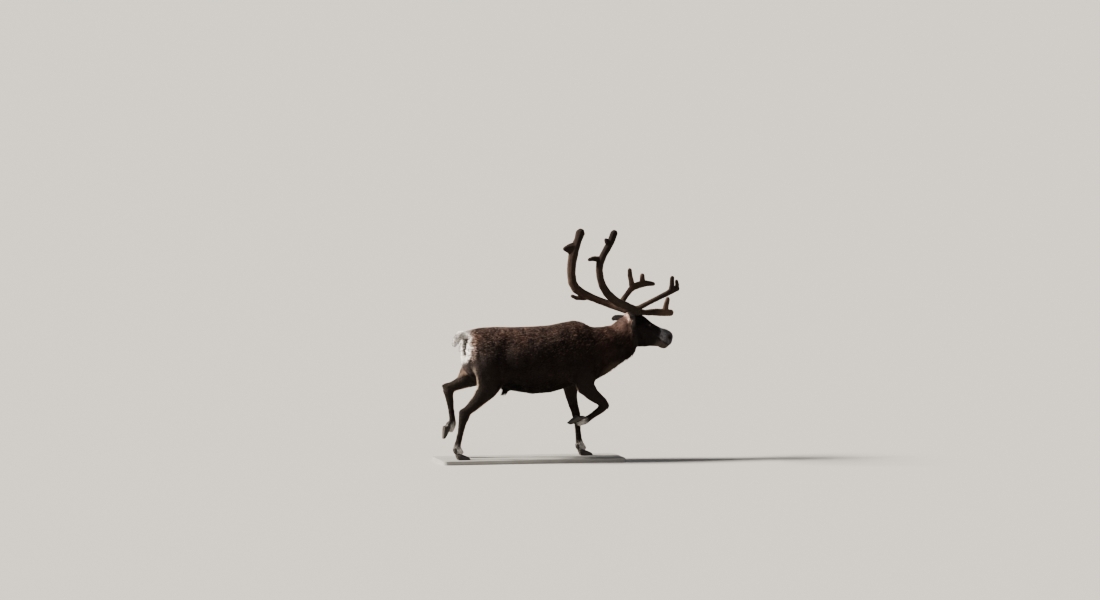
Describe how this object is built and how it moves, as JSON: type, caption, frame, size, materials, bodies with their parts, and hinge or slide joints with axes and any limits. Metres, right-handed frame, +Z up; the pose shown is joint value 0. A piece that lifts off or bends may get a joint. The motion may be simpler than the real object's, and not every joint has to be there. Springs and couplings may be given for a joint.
{
  "type": "reindeer bull in velvet, still life-size model",
  "caption": "Life-size reindeer bull with branched antlers in velvet, at a running step with its head turned a little, on a plain flat base.",
  "frame": {"origin": "on the floor, under the middle of the box that holds the animal and its base", "axes": "+X is the way the body faces, +Y is the animal's left, +Z is up"},
  "size_m": [2.0528, 0.7678, 1.9583],
  "materials": {
    "dark_coat": "short dense summer coat, dark brown, matt with a faint sheen",
    "pale_coat": "longer soft white hair",
    "velvet": "short brown velvet, matt with a soft sheen",
    "hoof_horn": "dull dark horn, worn paler at the edge",
    "eye": "wet dark brown",
    "base": "matt paint"
  },
  "bodies": {
    "root": {"antler_left_back_tine": "velvet", "antler_left_bez_tine": "velvet", "antler_left_brow_tine": "velvet", "antler_left_lower_beam": "velvet", "antler_left_middle_beam": "velvet", "antler_left_upper_beam": "velvet", "antler_right_back_tine": "velvet", "antler_right_bez_tine": "velvet", "antler_right_brow_tine": "velvet", "antler_right_lower_beam": "velvet", "antler_right_middle_beam": "velvet", "antler_right_upper_beam": "velvet", "ear_left": "dark_coat", "ear_right": "dark_coat", "eye_left": "eye", "eye_right": "eye", "fore_leg_left_cannon": "dark_coat", "fore_leg_left_claw_left": "hoof_horn", "fore_leg_left_claw_right": "hoof_horn", "fore_leg_left_dewclaw_left": "hoof_horn", "fore_leg_left_dewclaw_right": "hoof_horn", "fore_leg_left_forearm": "dark_coat", "fore_leg_left_pastern": "dark_coat", "fore_leg_left_shoulder": "dark_coat", "fore_leg_right_cannon": "dark_coat", "fore_leg_right_claw_left": "hoof_horn", "fore_leg_right_claw_right": "hoof_horn", "fore_leg_right_dewclaw_left": "hoof_horn", "fore_leg_right_dewclaw_right": "hoof_horn", "fore_leg_right_forearm": "dark_coat", "fore_leg_right_pastern": "dark_coat", "fore_leg_right_shoulder": "dark_coat", "head": "dark_coat", "hind_leg_left_cannon": "dark_coat", "hind_leg_left_claw_left": "hoof_horn", "hind_leg_left_claw_right": "hoof_horn", "hind_leg_left_dewclaw_left": "hoof_horn", "hind_leg_left_dewclaw_right": "hoof_horn", "hind_leg_left_gaskin": "dark_coat", "hind_leg_left_haunch": "dark_coat", "hind_leg_left_pastern": "dark_coat", "hind_leg_right_cannon": "dark_coat", "hind_leg_right_claw_left": "hoof_horn", "hind_leg_right_claw_right": "hoof_horn", "hind_leg_right_dewclaw_left": "hoof_horn", "hind_leg_right_dewclaw_right": "hoof_horn", "hind_leg_right_gaskin": "dark_coat", "hind_leg_right_haunch": "dark_coat", "hind_leg_right_pastern": "dark_coat", "neck": "dark_coat", "stand_base": "base", "tail": "pale_coat", "trunk": "dark_coat"}
  },
  "joints": []
}
